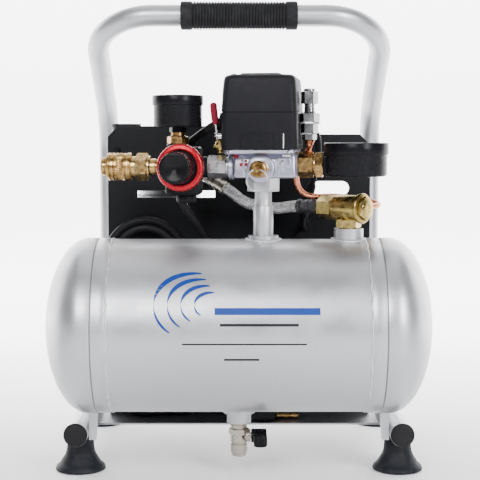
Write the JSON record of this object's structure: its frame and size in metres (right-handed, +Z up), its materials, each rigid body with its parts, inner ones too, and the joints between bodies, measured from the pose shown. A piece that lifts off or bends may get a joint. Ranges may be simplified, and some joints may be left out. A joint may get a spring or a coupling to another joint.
{
  "type": "airbrush compressor",
  "caption": "Small silver tank air compressor in a bent tube frame, with a pressure switch, gauges, regulator, quick coupler, piston pump and motor, and a coiled power cord.",
  "frame": {"origin": "on the floor under the middle of the object's width and depth, not counting the power cord", "axes": "+X to the right along the tank, +Y to the back, +Z up"},
  "size_m": [0.3026, 0.3285, 0.3858],
  "materials": {
    "silver_paint": "satin",
    "silver_fitting": "satin",
    "black_rubber": "matte",
    "grip_rubber": "matte",
    "black_plastic": "fine texture",
    "black_enamel": "satin",
    "zinc_steel": "zinc plated",
    "machined_steel": "ground",
    "cast_aluminium": "as cast",
    "diecast_zinc": "tumbled",
    "copper_winding": "varnished",
    "capacitor_can": "drawn",
    "steel_braid": "braided",
    "black_ferrule": "crimped",
    "valve_brass": "machined",
    "fitting_brass": "machined",
    "copper": "drawn tube",
    "chrome_valve": "polished",
    "nickel": "dull nickel",
    "lever_red": "vinyl dip",
    "regulator_black": "coated casting",
    "anodised_red": "gloss",
    "gauge_black": "satin",
    "dial_white": "printed",
    "gauge_lens": "clear",
    "needle_red": "matte",
    "cable_pvc": "satin"
  },
  "bodies": {
    "base": {"tank_shell": "silver_paint", "tank_heads": "silver_paint", "tank_bosses": "silver_paint", "frame_tube": "silver_paint", "frame_plugs": "black_plastic", "handle_grip": "grip_rubber", "rubber_feet": "black_rubber", "foot_screws": "zinc_steel", "tank_brackets": "silver_paint", "pump_deck": "silver_paint", "deck_isolators": "black_rubber", "front_panel": "black_enamel", "crankcase": "cast_aluminium", "pump_cylinder": "cast_aluminium", "cylinder_head": "cast_aluminium", "head_bolts": "zinc_steel", "intake_filter": "black_plastic", "motor_housing": "black_enamel", "stator": "copper_winding", "shaft_bearings": "machined_steel", "fan_cover": "black_enamel", "run_capacitor": "capacitor_can", "discharge_hose": "steel_braid", "hose_ferrules": "black_ferrule", "check_valve_body": "valve_brass", "check_valve_cap": "valve_brass", "unloader_tube": "copper", "unloader_valve": "chrome_valve", "riser_pipe": "silver_fitting", "manifold": "diecast_zinc", "switch_cover": "black_plastic", "regulator_nipple": "zinc_steel", "regulator_body": "regulator_black", "safety_valve_body": "fitting_brass", "gauge_fittings": "fitting_brass", "tank_gauge_case": "gauge_black", "outlet_gauge_case": "gauge_black", "gauge_dials": "dial_white", "gauge_lenses": "gauge_lens", "coupler_body": "fitting_brass", "drain_valve": "nickel", "motor_lead": "cable_pvc", "cord_gland": "black_plastic", "cord_run": "cable_pvc", "cord_hank": "cable_pvc", "cord_plug": "cable_pvc"},
    "rotor": {"rotor": "machined_steel", "crank": "machined_steel", "cooling_fan": "black_plastic"},
    "connecting_rod": {"con_rod": "cast_aluminium"},
    "piston": {"piston": "cast_aluminium"},
    "regulator_knob": {"regulator_knob": "black_plastic"},
    "lock_ring": {"lock_ring": "anodised_red"},
    "switch_lever": {"switch_lever": "lever_red"},
    "safety_stem": {"safety_stem": "zinc_steel"},
    "pull_ring": {"pull_ring": "zinc_steel"},
    "coupler_sleeve": {"coupler_sleeve": "fitting_brass"},
    "drain_handle": {"drain_handle": "black_plastic"},
    "tank_needle": {"tank_needle": "needle_red"},
    "outlet_needle": {"outlet_needle": "needle_red"}
  },
  "joints": [
    {"name": "crank_spin", "type": "hinge", "parent": "base", "child": "rotor", "pos_m": [0, 0.06975, 0.14], "axis": [1, 0, 0], "continuous": true},
    {"name": "rod_turn", "type": "hinge", "parent": "rotor", "child": "connecting_rod", "pos_m": [-0.067, 0.06975, 0.146], "axis": [1, 0, 0], "continuous": true},
    {"name": "piston_stroke", "type": "slide", "parent": "base", "child": "piston", "axis": [0, 0, 1], "range_m": [-0.012, 0]},
    {"name": "knob_turn", "type": "hinge", "parent": "base", "child": "regulator_knob", "pos_m": [-0.04642, -0.12752, 0.244], "axis": [-0.1219, -0.9925, 0], "range_deg": [-360, 360]},
    {"name": "lock_ring_turn", "type": "hinge", "parent": "base", "child": "lock_ring", "pos_m": [-0.04496, -0.11561, 0.244], "axis": [-0.1219, -0.9925, 0], "range_deg": [-180, 180]},
    {"name": "lever_flip", "type": "hinge", "parent": "base", "child": "switch_lever", "pos_m": [-0.01436, -0.09619, 0.268], "axis": [0.9925, -0.1219, 0], "range_deg": [0, 24]},
    {"name": "safety_pull", "type": "slide", "parent": "base", "child": "safety_stem", "axis": [-0.1219, -0.9925, 0], "range_m": [0, 0.003], "stiffness_N_per_m": 400},
    {"name": "ring_swing", "type": "hinge", "parent": "safety_stem", "child": "pull_ring", "pos_m": [0.01363, -0.13489, 0.243], "axis": [0.9925, -0.1219, 0], "range_deg": [-95, 8]},
    {"name": "sleeve_slide", "type": "slide", "parent": "base", "child": "coupler_sleeve", "axis": [0.9925, -0.1219, 0], "range_m": [0, 0.0033], "stiffness_N_per_m": 600},
    {"name": "drain_turn", "type": "hinge", "parent": "base", "child": "drain_handle", "pos_m": [0.012, -0.09525, 0.0306], "axis": [1, 0, 0], "range_deg": [0, 90]},
    {"name": "tank_needle_sweep", "type": "hinge", "parent": "base", "child": "tank_needle", "pos_m": [0.09066, -0.10405, 0.258], "axis": [0, 0, 1], "range_deg": [-270, 0], "stiffness_Nm_per_rad": 0.0002},
    {"name": "outlet_needle_sweep", "type": "hinge", "parent": "base", "child": "outlet_needle", "pos_m": [-0.048, -0.08702, 0.295], "axis": [0, 0, 1], "range_deg": [-270, 0], "stiffness_Nm_per_rad": 0.0002}
  ],
  "couplings": [
    {"joint": "rod_turn", "follows": "crank_spin", "ratio": -1}
  ]
}
